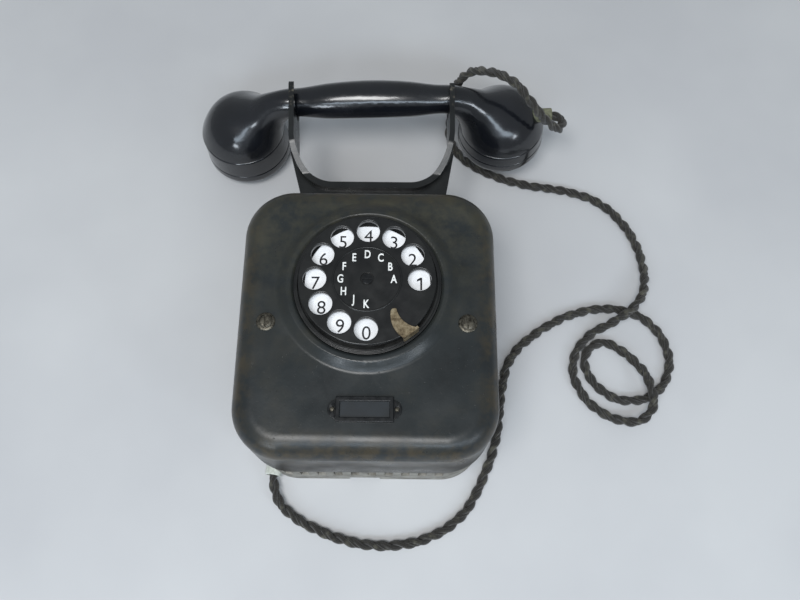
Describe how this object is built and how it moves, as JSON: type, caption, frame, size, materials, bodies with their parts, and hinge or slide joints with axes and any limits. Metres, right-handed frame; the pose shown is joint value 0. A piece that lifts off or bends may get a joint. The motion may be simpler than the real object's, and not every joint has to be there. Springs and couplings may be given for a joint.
{
  "type": "wall telephone",
  "caption": "Rotary wall telephone with a metal case, a dial, a forked cradle on top, a bakelite handset across it and a long twisted cord.",
  "frame": {"origin": "centre of the base tray's back face, which lies against the wall or the table", "axes": "+X to the telephone's right, +Y to its top with the cradle, +Z out of its front"},
  "size_m": [0.3245, 0.3214, 0.1104],
  "materials": {
    "case_enamel": "satin",
    "tray_paint": "satin",
    "bakelite": "gloss",
    "wheel_paint": "satin",
    "plate_enamel": "gloss",
    "cradle_paint": "satin",
    "worn_steel": "worn",
    "inner_steel": "satin",
    "brass": "satin",
    "gong_steel": "satin",
    "coil_wrap": "matte",
    "contact_block": "matte",
    "capacitor_case": "satin",
    "label_paper": "matte",
    "gland_rubber": "matte",
    "cord_braid": "matte"
  },
  "bodies": {
    "root": {"base_tray": "tray_paint", "front_cover": "case_enamel", "cover_posts": "inner_steel", "cover_screws": "worn_steel", "cover_washers": "worn_steel", "label_frame": "worn_steel", "label_card": "label_paper", "label_rivets": "worn_steel", "cord_gland": "gland_rubber", "dial_case": "bakelite", "number_plate": "plate_enamel", "gear_plate": "brass", "gear_plate_screws": "worn_steel", "mainspring": "worn_steel", "impulse_contacts": "contact_block", "governor_cup": "brass", "finger_stop": "worn_steel", "gong_left": "gong_steel", "gong_right": "gong_steel", "gong_posts": "inner_steel", "gong_screws": "worn_steel", "ringer_frame": "inner_steel", "ringer_coils": "coil_wrap", "ringer_magnet": "inner_steel", "capacitor": "capacitor_case", "capacitor_strap": "inner_steel", "coil_core": "inner_steel", "coil_winding": "coil_wrap", "terminal_block": "contact_block", "terminal_screws": "worn_steel", "hook_bracket": "inner_steel", "hook_spring": "worn_steel", "hook_contacts": "contact_block", "table_cord": "cord_braid"},
    "dial": {"finger_wheel": "wheel_paint", "letter_disc": "bakelite", "hub_ring": "worn_steel", "hub_screw": "worn_steel", "dial_shaft": "worn_steel", "dial_gear": "brass"},
    "impulse": {"impulse_shaft": "brass", "impulse_gear": "brass"},
    "governor": {"governor_shaft": "brass", "governor_weights": "brass"},
    "clapper": {"clapper_armature": "brass", "clapper_arm": "brass"},
    "cradle": {"cradle_web": "cradle_paint", "left_prong": "cradle_paint", "right_prong": "cradle_paint", "cradle_stem": "cradle_paint", "cradle_screws": "worn_steel"},
    "handset": {"handset_shell": "bakelite", "cord_bush": "gland_rubber", "ear_cap": "bakelite", "mouth_cap": "bakelite", "receiver_capsule": "capacitor_case", "transmitter_capsule": "capacitor_case", "handset_cord": "cord_braid"}
  },
  "joints": [
    {"name": "dial_turn", "type": "hinge", "parent": "root", "child": "dial", "pos_m": [0, 0.0165, 0.1], "axis": [0, 0, 1], "range_deg": [-320, 0], "stiffness_Nm_per_rad": 0.004, "springref_deg": 28.65},
    {"name": "impulse_turn", "type": "hinge", "parent": "root", "child": "impulse", "pos_m": [-0.01988, 0.02797, 0.09], "axis": [0, 0, 1], "range_deg": [0, 1200]},
    {"name": "governor_turn", "type": "hinge", "parent": "root", "child": "governor", "pos_m": [-0.01553, 0.03932, 0.09], "axis": [0, 0, 1], "range_deg": [-3600, 0]},
    {"name": "clapper_swing", "type": "hinge", "parent": "root", "child": "clapper", "pos_m": [0, -0.012, 0.03], "axis": [0, 0, 1], "range_deg": [-4, 4]},
    {"name": "cradle_press", "type": "slide", "parent": "root", "child": "cradle", "axis": [0, -1, 0], "range_m": [0, 0.0055], "stiffness_N_per_m": 300, "springref_m": -0.004, "deforming": ["hook_spring"]},
    {"name": "handset_lift", "type": "slide", "parent": "root", "child": "handset", "axis": [0, 1, 0], "range_m": [0, 0.04]}
  ],
  "couplings": [
    {"joint": "impulse_turn", "follows": "dial_turn", "ratio": -3.75},
    {"joint": "governor_turn", "follows": "dial_turn", "ratio": 11.25}
  ]
}
